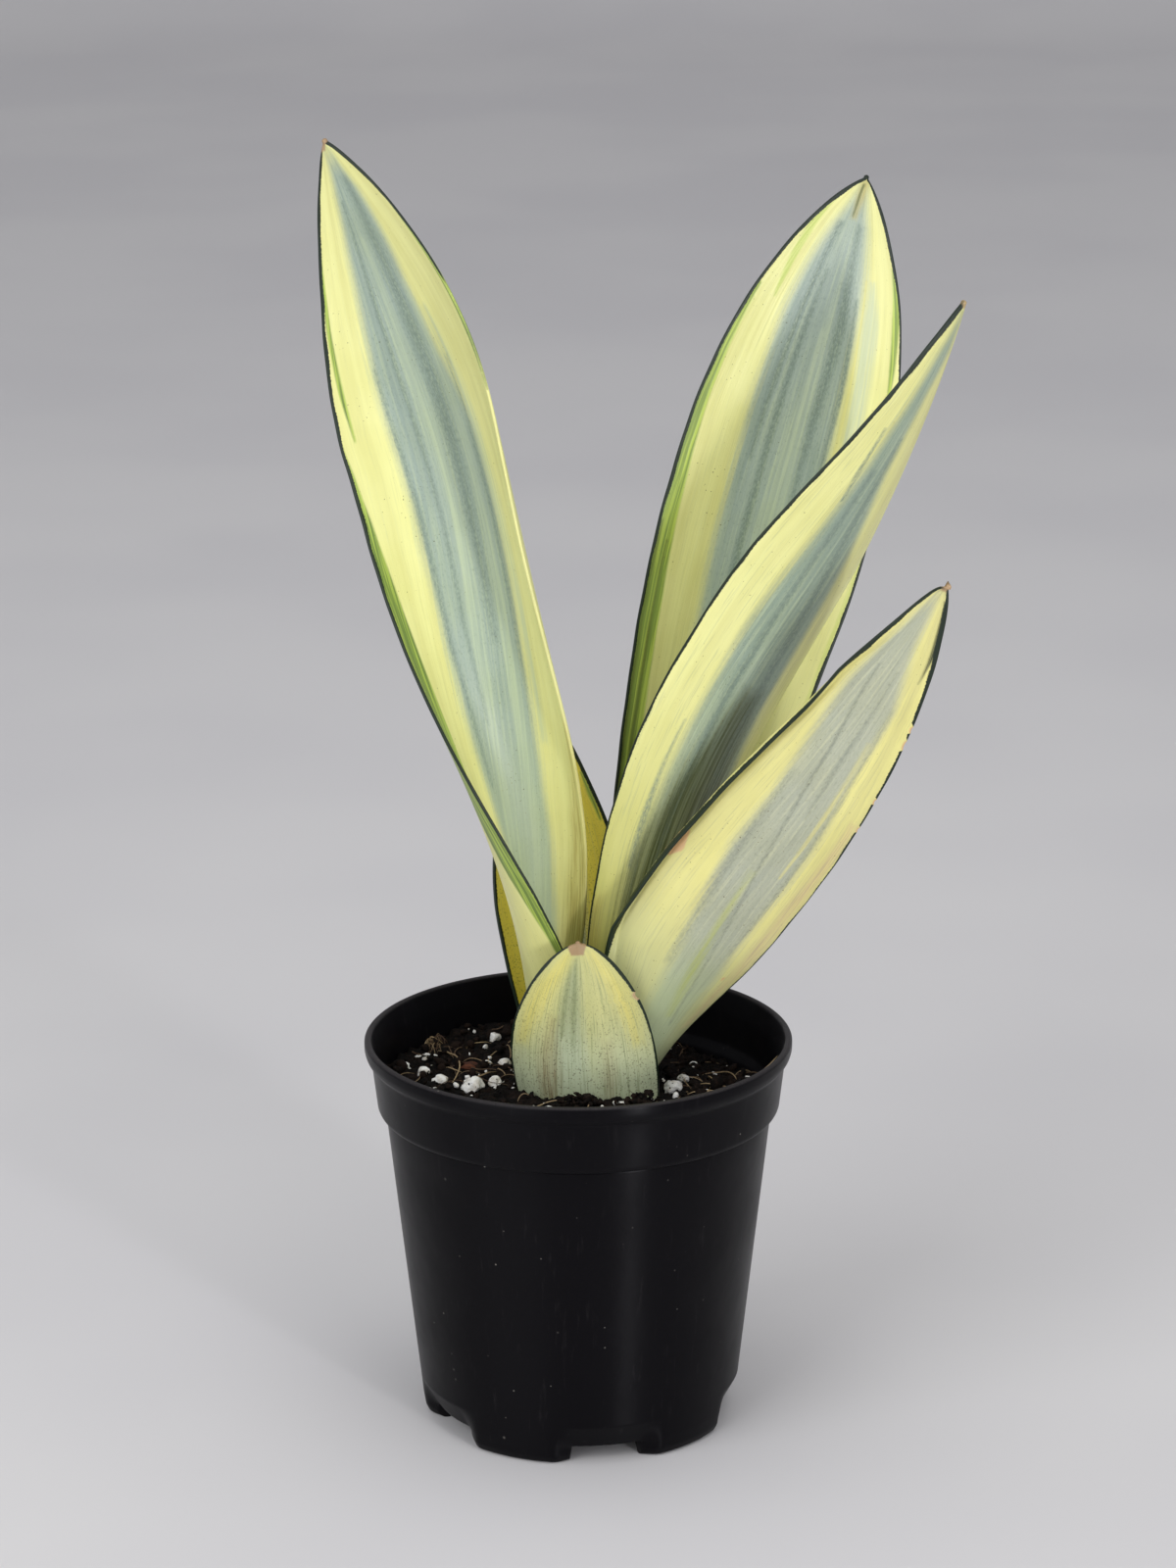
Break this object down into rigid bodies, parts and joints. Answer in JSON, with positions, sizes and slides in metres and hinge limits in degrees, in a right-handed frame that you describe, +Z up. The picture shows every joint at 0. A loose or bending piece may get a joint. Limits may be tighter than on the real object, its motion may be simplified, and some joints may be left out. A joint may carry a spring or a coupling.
{
  "type": "potted snake plant",
  "caption": "Snake plant with broad, channelled, cream-edged leaves fanning from a buried crown, in soil with perlite, in a round black nursery pot with notched feet.",
  "frame": {"origin": "middle of the whole plant's bounding box in plan, on the ground under the pot's feet", "axes": "+Z up along the pot's axis; the plant's front, as pictured, faces -Y; +X is to the viewer's right. The pot's axis stands 16.8 mm to the -X side of the origin, because the leaves lean further to +X."},
  "size_m": [0.175, 0.12, 0.3603],
  "materials": {
    "pot_plastic": "satin black moulded plastic with faint dust and scuffs",
    "potting_mix": "rough, dark brown peat and coir crumbs",
    "crown_flesh": "matte, tan root flesh",
    "leaf_flesh": "waxy satin; cream-yellow margins, grey-green middle band, thin dark green edge",
    "perlite": "chalky white, pitted",
    "bark": "rough reddish brown"
  },
  "bodies": {
    "root": {"pot": "pot_plastic", "soil": "potting_mix", "crown": "crown_flesh", "leaf_tall_left": "leaf_flesh", "leaf_tall_back": "leaf_flesh", "leaf_right": "leaf_flesh", "leaf_low_right": "leaf_flesh", "leaf_short_front": "leaf_flesh", "leaf_short_back": "leaf_flesh", "perlite_01": "perlite", "perlite_02": "perlite", "perlite_03": "perlite", "perlite_04": "perlite", "perlite_05": "perlite", "perlite_06": "perlite", "perlite_07": "perlite", "perlite_08": "perlite", "perlite_09": "perlite", "perlite_10": "perlite", "perlite_11": "perlite", "perlite_12": "perlite", "bark_chip": "bark"}
  },
  "joints": []
}
